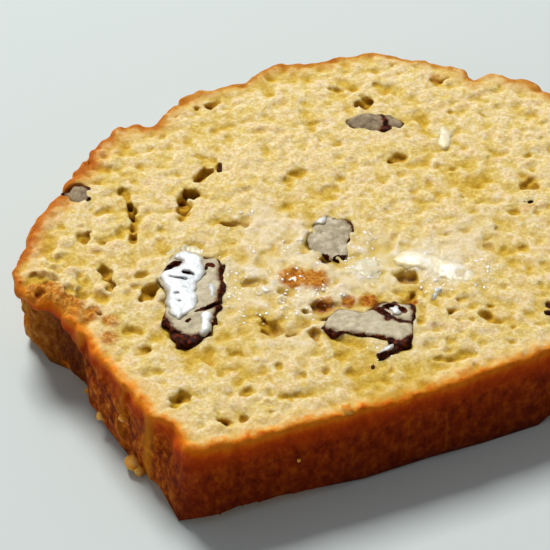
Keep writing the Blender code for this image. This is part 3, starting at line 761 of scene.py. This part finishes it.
def quick_bread(name, specular, glow):
    """Quick bread: a soft yellow crumb, golden and darker in its pits as painted shade, that browns
    to a thin dark crust. A high specular level makes moist crumb glint, and a low one keeps baked
    crust warm at a slant. Glow is how much light passes through."""
    material, tree, shader = new_material(name)
    coords = add_node(tree, "ShaderNodeTexCoord", gives="Object")
    place = add_node(tree, "ShaderNodeSeparateXYZ", {"Vector": coords}).node.outputs
    crust_depth_and_foot_shade, pit, wet, browned, crease = [
        add_node(tree, "ShaderNodeAttribute", gives="Fac", attribute_name=fact)
        for fact in ("crust_depth_and_foot_shade", "pit", "wet", "browned", "crease")]

    # Noise in real sizes: the crumb's grain and its patches, the ragged inner edge of the crust,
    # and the mottle of the baked wall, which is drawn out up the wall.
    drawn_out = add_node(tree, "ShaderNodeVectorMath", {0: coords, 1: (1.0, 1.0, 0.7)},
                         operation="MULTIPLY")
    grain, patches, ragged, mottle = [
        add_node(tree, "ShaderNodeTexNoise", {"Vector": vector, "Scale": 1 / (size * MM),
                                              "Detail": detail, "Roughness": roughness})
        for vector, size, detail, roughness in ((coords, 0.7, 8.0, 0.7), (coords, 3.5, 6.0, 0.6),
                                                (coords, 1.6, 6.0, 0.65), (drawn_out, 1.5, 8.0, 0.7))]

    swing = add_node(tree, "ShaderNodeMath", {0: ragged, 1: 4.0, 2: -2.0}, operation="MULTIPLY_ADD")
    depth = add_node(tree, "ShaderNodeMath", {0: crust_depth_and_foot_shade, 1: swing}, operation="ADD")
    inward = add_node(tree, "ShaderNodeMath", {0: depth, 1: 5.0}, operation="DIVIDE")
    # How far soaked crumb is paled, partly by butter and partly by painted sheen.
    soaked_sheen_share = add_node(tree, "ShaderNodeMath", {0: wet, 1: 0.5}, operation="MULTIPLY")
    toasted = add_node(tree, "ShaderNodeMath", {0: ragged, 1: browned}, operation="MULTIPLY")
    jagged = add_node(tree, "ShaderNodeMath", {0: mottle, 1: 3 * MM, 2: place["Z"]},
                      operation="MULTIPLY_ADD")

    # How far a value has come from one number to another, given between the last two.
    to_right, upward, toasting, underneath, floor_shade, below_cut, ridge_gold_and_highlight, groove_shade, is_crust, gloss = [
        add_node(tree, "ShaderNodeMapRange", {"Value": value, "From Min": first, "From Max": last,
                                              "To Min": low, "To Max": high})
        for value, first, last, low, high in (
            (place["X"], -32 * MM, -8 * MM, 0.0, 1.0),
            (place["Y"], RIM_Y * MM, (RIM_Y + 12) * MM, 0.0, 1.0),
            (toasted, 0.18, 0.44, 0.0, 1.0),
            (place["Y"], (BASE_Y + 12) * MM, (BASE_Y + 3) * MM, 0.0, 1.0),
            # Darker towards the floor: painted shade on the base wall.
            (place["Z"], 0.0, CUT_FACE * MM, 0.4, 1.0),
            # How far below the upper cut face a point lies, which sets the painted glow at the wall's
            # edge.
            (jagged, (CUT_FACE + 1.5) * MM, (CUT_FACE - 4.5) * MM, 0.0, 1.0),
            # Raised folds turn golden: partly the crust's own colour, partly painted highlight.
            # Grooves and the hollows under the lips turn dark: painted shade.
            (crease, 0.12, 0.7, 0.0, 1.0),
            (crease, -0.06, -0.9, 0.0, 0.7),
            (crust_depth_and_foot_shade, 0.7, 0.2, 0.0, 1.0),
            (wet, 0.0, 1.0, 0.6, 0.16))]

    # Colours of each part of the crumb and the crust, and what they go by.
    tones = {part: add_node(tree, "ShaderNodeValToRGB", {"Fac": value}, stops=stops)
             for part, value, stops in (
        ("crumb", grain, ((0.36, "#D8C078"), (0.50, "#E6D6A2"), (0.62, "#F5EDD8"))),
        ("tint", patches, ((0.38, "#FDF1E8"), (0.50, "#FDF6E8"), (0.62, "#F6E8B4"))),
        ("tin_band", inward, ((0.0, "#CE5A00"), (0.10, "#E68010"), (0.25, "#EDA43A"),
                              (0.50, "#EEC67C"))),
        ("left_band", inward, ((0.0, "#AC5204"), (0.26, "#C47006"), (0.56, "#D8921A"))),
        ("top_band", inward, ((0.0, "#AC6610"), (0.26, "#C88828"), (0.56, "#DAAE54"))),
        ("baked", inward, ((0.0, 1.0), (0.28, 0.95), (0.46, 0.55), (0.74, 0.2), (1.0, 0.0))),
        ("toast", grain, ((0.34, "#8A4404"), (0.48, "#BC720E"), (0.64, "#DCA640"))),
        # In pits the crumb turns golden and then dark brown the deeper it lies: painted shade.
        ("pits", pit, ((0.0, "#FFFFFF"), (0.15, "#F8F2CE"), (0.35, "#EEDE88"),
                       (0.55, "#E2C850"), (0.72, "#C69E1E"), (1.0, "#644204"))),
        ("tin_side", mottle, ((0.36, "#541600"), (0.48, "#963A00"), (0.58, "#C46608"),
                              (0.68, "#E09838"))),
        ("tin_base", mottle, ((0.34, "#701A00"), (0.50, "#9C3200"), (0.68, "#C25806"))),
        # Just below the upper cut face the wall turns orange: partly the crust's own lighter layer,
        # partly painted glow of light shining through the crumb's edge. The lower cut edge gets none.
        ("edge_glow_tone", below_cut, ((0.0, "#E2861A"), (0.18, "#E06C06"), (0.32, "#CE4C00"),
                                  (0.52, "#B83C00"))),
        ("edge_glow_share", below_cut, ((0.0, 1.0), (0.25, 0.95), (0.50, 0.65), (1.0, 0.0))),
        ("split_top", mottle, ((0.34, "#A04A06"), (0.50, "#C67410"), (0.66, "#DCA048"))))}
    # The base wall grows darker towards the floor: painted shade, standing for the shadow where the
    # slice meets the floor.
    tones["base_painted_shade"] = add_node(tree, "ShaderNodeVectorMath",
                                    {0: tones["tin_base"], "Scale": floor_shade}, operation="SCALE")

    # Each coat: how much it covers, what it lies on, its own colour, and how the two mix.
    for coat, cover, under, over, blend in (
            ("tinted", 1.0, "crumb", "tint", "MULTIPLY"),
            # Soaked crumb is paler: partly the butter in it, partly painted sheen of the light on the
            # wet crumb.
            ("moist_with_sheen", soaked_sheen_share, "tinted", "#EEE2CA", "MIX"),
            ("dome_band", to_right, "left_band", "top_band", "MIX"),
            ("band", upward, "tin_band", "dome_band", "MIX"),
            ("banded", tones["baked"], "moist_with_sheen", "band", "MIX"),
            ("toasted", toasting, "banded", "toast", "MIX"),
            ("inner", 1.0, "toasted", "pits", "MULTIPLY"),
            # The base wall, darker towards the floor as painted shade.
            ("tin", underneath, "tin_side", "base_painted_shade", "MIX"),
            # lit_edge: the orange painted glow below the upper cut edge, laid over the wall's mottle.
            ("lit_edge", tones["edge_glow_share"], "tin", "edge_glow_tone", "MIX"),
            # Raised folds lighter and golden, partly golden crust and partly painted highlight;
            # grooves and hollows under the lips dark as painted shade.
            ("gold_and_lit_ridge", ridge_gold_and_highlight, "lit_edge", "#CE8012", "MIX"),
            ("painted_groove_shade", groove_shade, "gold_and_lit_ridge", "#380F00", "MIX"),
            ("outside", upward, "painted_groove_shade", "split_top", "MIX"),
            ("bread", is_crust, "inner", "outside", "MIX")):
        own = linear(over) if over.startswith("#") else tones[over]
        tones[coat] = add_node(tree, "ShaderNodeMix", {0: cover, 6: tones[under], 7: own},
                               data_type="RGBA", blend_type=blend)

    bump = add_node(tree, "ShaderNodeBump", {"Height": grain, "Strength": 1.0, "Distance": 0.38 * MM})
    tree.links.new(tones["bread"], shader.inputs["Base Color"])
    tree.links.new(bump, shader.inputs["Normal"])
    tree.links.new(gloss, shader.inputs["Roughness"])
    shader.inputs["Specular IOR Level"].default_value = specular
    shader.inputs["Subsurface Weight"].default_value = glow
    shader.inputs["Subsurface Radius"].default_value = (1.0, 0.8, 0.45)
    shader.inputs["Subsurface Scale"].default_value = 1.2 * MM
    return material


xs, ys, zs = grid_lines(SLICE_LOW, SLICE_HIGH, GRID_STEP)
shape = (len(xs), len(ys), len(zs))
outline = closed_curve(node_outline("bread_slice"), 1.0)
outline_gap, along = outline_distance(outline, xs, ys)
on_top = np.clip((ys - RIM_Y) / 6, 0, 1)[None, :, None]
on_side = np.clip((ys - BASE_Y) / 8, 0, 1)[None, :, None]
lip = sum(np.exp(-(((xs[:, None] - x) / 8) ** 2) - ((ys[None, :] - 1) / 9) ** 2) for x in (-56, 56))
lip = lip[:, :, None]

# The wall, from the plain outline: folds, hollows under the lips, dents, swells and feet.
crease = paper_creases(outline, along, zs) * (1 - on_top)
# The hollows under the lips also enter the crease, whose colour paints shade there.
crease += swelling(HOLLOWS, xs, ys)[:, :, None] * np.clip((15.5 - zs) / 4, 0, 1)
wall = outline_gap[:, :, None] - crease - np.clip((ys - RIM_Y - 10) / 10, 0, 1)[None, :, None]
wall -= swelling(DENTS, xs, ys)[:, :, None] * np.clip((zs - 7) / 7, 0, 1)
wall -= swelling(SWELLS, xs, ys)[:, :, None]
wall -= swelling(FEET, xs, ys)[:, :, None] * (1 - np.clip(zs, 0, CUT_FACE) / CUT_FACE)
wall += lumps(shape, GRID_STEP, 4.5, 1) * (WALL_LUMPS + TOP_LUMPS * on_top)
wall += lumps(shape, GRID_STEP, 1.4, 2) * (WALL_GRIT + SIDE_GRIT * on_side + LIP_GRIT * lip)

# The two cut faces, with small bubbles that grow fewer towards the crust.
faces = np.maximum(zs - CUT_FACE, -zs)[None, None, :]
faces = faces + lumps(shape[:2], GRID_STEP, 9.0, 3)[:, :, None] * FACE_WAVES
faces = faces + lumps(shape, GRID_STEP, 0.95, 4) * (CRUMB_GRIT + LIP_CRAGS * lip)
bubbles = CRUMB_BUBBLES * np.clip(lumps(shape, GRID_STEP, 1.3, 6) - 0.5, 0, None)
faces += bubbles * np.clip(-wall / 3, 0.3, 1)
field = smooth_max(wall, faces, CORNER_ROUNDING)

# The pores, and a pocket for each nut. The underside stays flat on the floor.
pores = [(x, y, CUT_FACE - 0.2, a / 2, b / 2, c, turn) for x, y, a, b, c, turn in LARGE_PORES]
pores += [(x, y, CUT_FACE, a / 2, b / 2, 0.6 * c, CAMERA_AZIMUTH) for x, y, a, b, c in PITS]
pores += random_pores(random.Random(3), outline_gap)
field = smooth_max(field, -carve_pores(shape, pores), PORE_ROUNDING)
for node, piece in PECANS.items():
    low, high = pecan_box(piece)
    low = np.maximum(((low - SLICE_LOW) / GRID_STEP).astype(int), 0)
    high = np.minimum(((high - SLICE_LOW) / GRID_STEP).astype(int) + 1, shape)
    box = tuple(slice(l, h) for l, h in zip(low, high))
    pocket = pecan_distance(piece, xs[box[0]], ys[box[1]], zs[box[2]])
    clinging = NUT_POCKET + lumps(pocket.shape, GRID_STEP, 1.3, 31) * CLINGING_CRUMB
    field[box] = smooth_max(field[box], -pocket - clinging, POCKET_ROUNDING)
field = np.maximum(field, -zs[None, None, :] - 0.02).astype(np.float32)
field[[0, -1]] = field[:, [0, -1]] = field[:, :, [0, -1]] = FAR_OUT

# The underside can spare points: it is plainer, and lies face down.
points, quads = largest_body(*skin_of(field, SLICE_LOW, GRID_STEP))
spare = np.clip((2 - points[:, 2]) / 1.5, 0, 1)
slice_piece = mesh_object("bread_crumb_and_crust", points, quads, SLICE_TRIANGLES, spare)

# What the material reads at each point: how deep it lies in a pit, below its cut face and with
# bread round it, which the pit colour turns into painted shade; how far it is inside the crust,
# pulled out over the lower edge near the floor as painted shade; and how creased, soaked and
# browned it is.
points = mesh_points(slice_piece)
# How enclosed each point is by bread. With the depth below the cut face it sets the pit colour, which
# is painted shade.
solid = box_blur(np.clip(-field / GRID_STEP + 0.5, 0, 1), 3)
hollow = np.clip(read_grid(solid, SLICE_LOW, GRID_STEP, points) - 0.53, 0, 1)
sunk = np.minimum(points[:, 2], CUT_FACE - points[:, 2])
pit = np.clip(0.8 * (sunk - 0.12), 0, 0.5) + 0.14 * np.clip(sunk - 0.9, 0, 3) + 0.5 * hollow
crust_depth_and_foot_shade = -read_grid(wall, SLICE_LOW, GRID_STEP, points)
# Near the floor the crust colour is pulled over the lower cut edge: painted shade where the slice
# meets the floor.
crust_depth_and_foot_shade -= np.clip(1.5 - points[:, 2], 0, 1)
near_top = np.clip(points[:, 2] - (CUT_FACE - 3), 0, 1)
wet, browned = [read_grid(spots(places, xs, ys), SLICE_LOW, GRID_STEP, points) * near_top
                for places in (WET_SPOTS, BROWN_SPOTS)]
wet *= 1 - 0.8 * np.clip(browned, 0, 1)
creased = read_grid(crease, SLICE_LOW, GRID_STEP, points)
for fact, values in (("pit", pit), ("crust_depth_and_foot_shade", crust_depth_and_foot_shade), ("crease", creased),
                     ("wet", wet), ("browned", browned)):
    set_attribute(slice_piece, fact, values)

# One bread in three finishes: its name, specular level and glow.
for finish in (("dry_crumb", 0.15, 0.7), ("moist_crumb", 0.9, 0.6), ("baked_crust", 0.05, 0.1)):
    slice_piece.data.materials.append(quick_bread(*finish))
corners = np.empty(len(slice_piece.data.loops), np.int32)
slice_piece.data.loops.foreach_get("vertex_index", corners)
starts = np.empty(len(slice_piece.data.polygons), np.int32)
slice_piece.data.polygons.foreach_get("loop_start", starts)
patchy = wet + np.random.default_rng(9).uniform(-0.25, 0.25, len(wet))
is_crust = np.minimum.reduceat(crust_depth_and_foot_shade[corners], starts) < 0.5
is_moist = np.maximum.reduceat(patchy[corners], starts) > 0.5
finish = np.where(is_crust, 2, is_moist)
slice_piece.data.polygons.foreach_set("material_index", finish.astype(np.int32))
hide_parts("bread_slice")
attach(slice_piece, "root")

# ---------------------------------------------------------------- butter
# Butter that was spread on the warm slice: a soft smear that keeps its ridge, a small dab,
# and thin melted films that cling to the nuts. Each is a low mound with a rounded edge. The
# whitest films are melted butter drawn bluish-white as a painted highlight of the light.
BUTTER_STEP = 0.2
SPREAD_TRIANGLES, FILM_TRIANGLES = 12_000, 24_000
SMEAR = ((6.6, -14.0), (7.9, -13.2), (10.4, -12.7), (12.4, -13.5), (13.8, -15.0), (15.5, -16.6),
         (17.0, -18.4), (18.5, -19.9), (19.8, -22.0), (19.2, -24.2), (16.9, -24.8), (14.5, -23.6),
         (12.8, -21.9), (11.4, -20.2), (10.6, -18.6), (9.0, -17.3), (7.4, -15.9))
DAB = ((29.5, 14.7), (31.1, 17.1), (32.7, 17.4), (32.7, 14.7), (31.1, 11.4), (29.3, 10.8),
       (28.9, 12.7))
# Films: the nut each lies on, or None for the crumb, its finish, thickness and outline.
FILMS = (
    ("pecan_left", "painted_highlight", 0.3,
     ((-30.1, 2.0), (-28.3, 2.3), (-26.9, 1.0), (-25.8, -0.3), (-26.2, -2.2), (-26.9, -4.8),
      (-27.8, -6.3), (-29.1, -7.0), (-29.9, -8.8), (-30.4, -10.7), (-31.3, -12.3), (-32.5, -13.4),
      (-34.1, -13.8), (-35.4, -14.2), (-36.3, -13.2), (-36.1, -11.2), (-36.1, -9.9), (-35.5, -8.5),
      (-34.6, -7.0), (-34.7, -5.6), (-34.8, -3.6), (-34.2, -1.6), (-32.2, -1.2), (-30.2, -1.2),
      (-29.3, -0.3), (-30.3, 0.8))),
    ("pecan_left", "painted_highlight", 0.3,
     ((-27.2, -7.8), (-26.4, -7.9), (-26.3, -9.2), (-27.5, -11.5), (-28.2, -11.2), (-27.8, -9.4))),
    ("pecan_left", "painted_highlight", 0.4,
     ((-31.2, -14.4), (-29.9, -14.3), (-29.5, -15.7), (-30.6, -17.8), (-31.6, -19.5), (-32.9, -19.8),
      (-33.2, -18.9), (-32.1, -16.4))),
    (None, "glaze", 0.35,
     ((-31.3, 4.2), (-29.7, 4.6), (-27.1, 4.6), (-25.2, 3.3), (-24.4, 1.8), (-24.9, 0.6),
      (-26.3, 1.6), (-28.2, 3.1), (-30.4, 3.2))),
    ("pecan_centre", "painted_highlight", 0.4,
     ((-2.2, 1.0), (-1.0, 1.9), (0.2, 1.6), (0.0, 0.5), (-1.4, 0.2))),
    ("pecan_right", "painted_highlight", 0.3,
     ((0.6, -26.4), (2.0, -26.0), (2.6, -27.0), (1.8, -28.2), (0.8, -27.6))),
    ("pecan_right_fold", "painted_highlight", 0.35,
     ((-5.4, -34.9), (-4.0, -34.2), (-2.6, -34.6), (-3.0, -35.6), (-4.6, -35.9), (-6.0, -36.0))),
    (None, "glaze", 0.25,
     ((-0.8, -13.3), (0.9, -11.2), (2.8, -11.4), (4.2, -13.4), (3.6, -15.6), (1.4, -17.1),
      (-0.3, -15.9))),
    (None, "painted_highlight", 0.25,
     ((11.6, -21.9), (12.6, -22.0), (11.7, -24.2), (10.6, -26.5), (9.2, -26.3), (10.0, -24.3))),
)


def butter_mound(line, xs, ys, zs, top, bottom):
    """A mound between two surfaces inside an outline, with a thin, ragged edge."""
    gap = gap_to(line, xs, ys)
    gap += lumps(gap.shape, BUTTER_STEP, 0.8, 43) * 0.22
    thin = (top - bottom) * np.clip(0.35 - gap / 1.2, 0, 1) ** 0.5
    mound = zs[None, None, :] - (bottom + thin)[:, :, None]
    return smooth_max(smooth_max(gap[:, :, None], mound, 0.15), bottom[:, :, None] - zs - 0.3, 0.05)


def butter_grid(line):
    """The lowest corner of the space round a butter outline, and its grid lines."""
    low = np.append(np.min(line, axis=0) - 1, CUT_FACE - 1.5)
    high = np.append(np.max(line, axis=0) + 1, CUT_FACE + 2.5)
    return low, grid_lines(low, high, BUTTER_STEP)


def joined(parts):
    """One set of points and quads from several."""
    points, quads, count = [], [], 0
    for part_points, part_quads in parts:
        points.append(part_points)
        quads.append(part_quads + count)
        count += len(part_points)
    return np.concatenate(points), np.concatenate(quads)


def soft_butter(name, colour, pale, roughness, thin="#E6D098", glow=0.5):
    """Soft butter: pale, slightly see-through, with a greasy shine that its ripples break up.
    Where its body is thin the crumb shows through and tinges it."""
    material, tree, shader = new_material(name)
    coords = add_node(tree, "ShaderNodeTexCoord", gives="Object")
    streak = add_node(tree, "ShaderNodeTexNoise",
                      {"Vector": coords, "Scale": 1 / (2.5 * MM), "Detail": 5.0, "Roughness": 0.6})
    tint = add_node(tree, "ShaderNodeValToRGB", {"Fac": streak}, stops=[(0.38, colour), (0.60, pale)])
    body = add_node(tree, "ShaderNodeAttribute", gives="Fac", attribute_name="body")
    tinged = add_node(tree, "ShaderNodeMix", {0: body, 6: linear(thin), 7: tint}, data_type="RGBA")
    ripple = add_node(tree, "ShaderNodeTexNoise",
                      {"Vector": coords, "Scale": 1 / (0.9 * MM), "Detail": 4.0})
    bump = add_node(tree, "ShaderNodeBump",
                    {"Height": ripple, "Strength": 0.7, "Distance": 0.3 * MM})
    tree.links.new(tinged, shader.inputs["Base Color"])
    tree.links.new(bump, shader.inputs["Normal"])
    shader.inputs["Roughness"].default_value = roughness
    shader.inputs["IOR"].default_value = 1.46
    shader.inputs["Subsurface Weight"].default_value = glow
    shader.inputs["Subsurface Radius"].default_value = (1.0, 0.9, 0.7)
    shader.inputs["Subsurface Scale"].default_value = 1.5 * MM
    return material


# The smear and the dab thin out from left to right: how thick they are at either end.
spread_butter = soft_butter("spread_butter", "#EDE0C0", "#FAF6EC", 0.25)
for node, line, thick, thin in (("butter_smear", SMEAR, 0.4, 0.2), ("butter_dab", DAB, 0.4, 0.3)):
    low, (xs_b, ys_b, zs_b) = butter_grid(line)
    gap = gap_to(line, xs_b, ys_b)
    share = ((xs_b - xs_b[0]) / (xs_b[-1] - xs_b[0]))[:, None]
    rise = np.clip(-gap / 2.6, 0, 1)
    top = CUT_FACE - 0.1 + (thick + (thin - thick) * share) * np.sqrt(rise * (2 - rise))
    top += lumps(top.shape, BUTTER_STEP, 1.6, 41) * 0.08
    mound = butter_mound(line, xs_b, ys_b, zs_b, top, np.full(top.shape, CUT_FACE - 0.5))
    surface = largest_body(*skin_of(mound, low, BUTTER_STEP))
    butter = mesh_object(node + "_soft", *surface, SPREAD_TRIANGLES)
    butter.data.materials.append(spread_butter)
    body = np.clip(0.1 - read_grid(gap, low, BUTTER_STEP, mesh_points(butter)) / 2.4, 0, 1)
    set_attribute(butter, "body", body)
    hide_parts(node)
    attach(butter, "root")

# The films follow what they lie on: a nut's cut surface, or the crumb.
is_bread = field < 0
crumb_top = zs[len(zs) - 1 - is_bread[:, :, ::-1].argmax(axis=2)]
# The bluish-white films are melted butter coloured to stand for the light's reflection, a painted
# highlight; the glaze films keep the butter's own cream.
for finish, colour, pale, roughness, thin in (("painted_highlight", "#CCD2D6", "#F6FAFE", 0.14, "#A89E8C"),
                                              ("glaze", "#CABE9C", "#E2DAC0", 0.3, "#DCC68E")):
    parts, edges = [], []
    for node, kind, thickness, line in FILMS:
        if kind != finish:
            continue
        low, (xs_b, ys_b, zs_b) = butter_grid(line)
        if node:
            top = pecan_top(PECANS[node], xs_b, ys_b)[0]
            holes = pecan_holes(PECANS[node], xs_b, ys_b, zs_b)
        else:
            px, py = np.meshgrid(xs_b, ys_b, indexing="ij")
            flat = np.stack([px.ravel(), py.ravel(), px.ravel()], 1)
            top = read_grid(crumb_top, SLICE_LOW, GRID_STEP, flat).reshape(px.shape)
            top = np.clip(top, CUT_FACE - 0.8, None)
            holes = FAR_OUT
        film = butter_mound(line, xs_b, ys_b, zs_b, top + thickness, top - 0.15)
        parts.append(largest_body(*skin_of(smooth_max(film, -holes, 0.1), low, BUTTER_STEP)))
        edges.append((gap_to(line, xs_b, ys_b), low))
    films = mesh_object(finish + "_butter_films", *joined(parts), FILM_TRIANGLES)
    films.data.materials.append(soft_butter(finish + "_butter", colour, pale, roughness, thin))
    places = mesh_points(films)
    body = [0.2 - read_grid(gap, low, BUTTER_STEP, places) / 0.9 for gap, low in edges]
    set_attribute(films, "body", np.clip(np.max(body, axis=0), 0, 1))
    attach(films, "root")

# ---------------------------------------------------------------- beads of melted butter
# Where butter soaked in, some of it stands on the crumb as tiny clear beads that glint in the
# light. They are coloured near-white, partly a painted glint. Each is a flattened ball of its own
# size, and all are one mesh. Where they lie is given as centre, radius and how thickly they
# stand there.
BEAD_SPOTS = (
    (-22.0, -12.0, 9.0, 1.0), (-25.0, -4.0, 6.0, 0.8), (-12.0, -16.0, 9.0, 1.0),
    (-6.0, -6.0, 7.0, 0.8), (1.0, -14.0, 6.0, 1.3), (3.5, -8.0, 4.0, 1.0), (12.0, -20.0, 7.0, 0.6),
    (-4.5, -34.0, 4.0, 1.2), (20.0, -24.0, 6.0, 0.5), (-14.0, 4.0, 8.0, 0.4),
)
BEAD_COUNT = 1300
BEAD_TRIANGLES = 110_000
# The radius of the smallest beads, and how much larger the largest are.
LEAST_BEAD, BEAD_RANGE = 0.09, 0.24
ball = bmesh.new()
bmesh.ops.create_icosphere(ball, subdivisions=2, radius=1.0)
ball_points = np.array([vert.co for vert in ball.verts])
ball_faces = np.array([[vert.index for vert in face.verts] for face in ball.faces])
ball.free()
bead_cover = spots(BEAD_SPOTS, xs, ys) * (crumb_top > CUT_FACE - 0.9)
rng = random.Random(21)
parts = []
while len(parts) < BEAD_COUNT:
    x, y = rng.uniform(-36, 30), rng.uniform(-40, 14)
    spot = np.array([[x, y, 0.0]])
    if rng.random() > read_grid(bead_cover, SLICE_LOW, GRID_STEP, spot)[0]:
        continue
    z = read_grid(crumb_top, SLICE_LOW, GRID_STEP, spot)[0]
    radius = LEAST_BEAD + BEAD_RANGE * rng.random() ** 2.5
    size = (radius * rng.uniform(1.0, 1.8), radius, radius * 0.7)
    turn = np.array(Matrix.Rotation(rng.uniform(0, math.pi), 3, "Z"))
    parts.append(((ball_points * size) @ turn.T + (x, y, z + 0.1 * radius), ball_faces))
beads = mesh_object("butter_beads", *joined(parts), BEAD_TRIANGLES)
# Near-white beads: partly painted glint, beside the real shine of their low roughness.
beads.data.materials.append(soft_butter("bead_butter", "#FFF2E6", "#FFFCFA", 0.12, glow=0.0))
set_attribute(beads, "body", np.ones(len(beads.data.vertices)))
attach(beads, "root")

# ---------------------------------------------------------------- stuck crumbs
# Crumbs that the knife dragged out of the slice, and which cling to its walls and cut edge.
# Each is a bumpy ball, given by place and half size, and moved in until it sinks into the crust.
STUCK_CRUMBS = (
    (-55.6, -9.0, 0.8, 0.8), (-53.2, -18.4, 3.6, 0.8), (-51.0, -25.9, 10.0, 0.9),
    (-50.7, -29.6, 1.6, 1.7), (-50.0, -31.2, 0.9, 1.2), (-26.4, -48.0, 10.0, 0.4),
    (-16.4, -45.4, 17.4, 1.1), (4.7, -46.6, 9.0, 0.7),
)
CRUMB_TRIANGLES = 4_000
# How deep in the crust they were torn from, which gives their colour.
TORN_FROM = 1.2
parts = []
for x, y, z, size in STUCK_CRUMBS:
    shaping = np.random.default_rng(round(10 * abs(x)))
    bumpy = 1 + shaping.uniform(-0.3, 0.3, (len(ball_points), 1))
    sides = size * shaping.uniform(0.6, 1.2, 3)
    place = np.array([[x, y, max(z, sides[2])]])
    while read_grid(field, SLICE_LOW, GRID_STEP, place)[0] > 0.3 * size:
        place[0, :2] *= 0.998
    parts.append((ball_points * bumpy * sides + place, ball_faces))
crumbs = mesh_object("stuck_crumbs", *joined(parts), CRUMB_TRIANGLES)
set_attribute(crumbs, "crust_depth_and_foot_shade", np.full(len(crumbs.data.vertices), TORN_FROM))
crumbs.data.materials.append(slice_piece.data.materials[0])
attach(crumbs, "root")
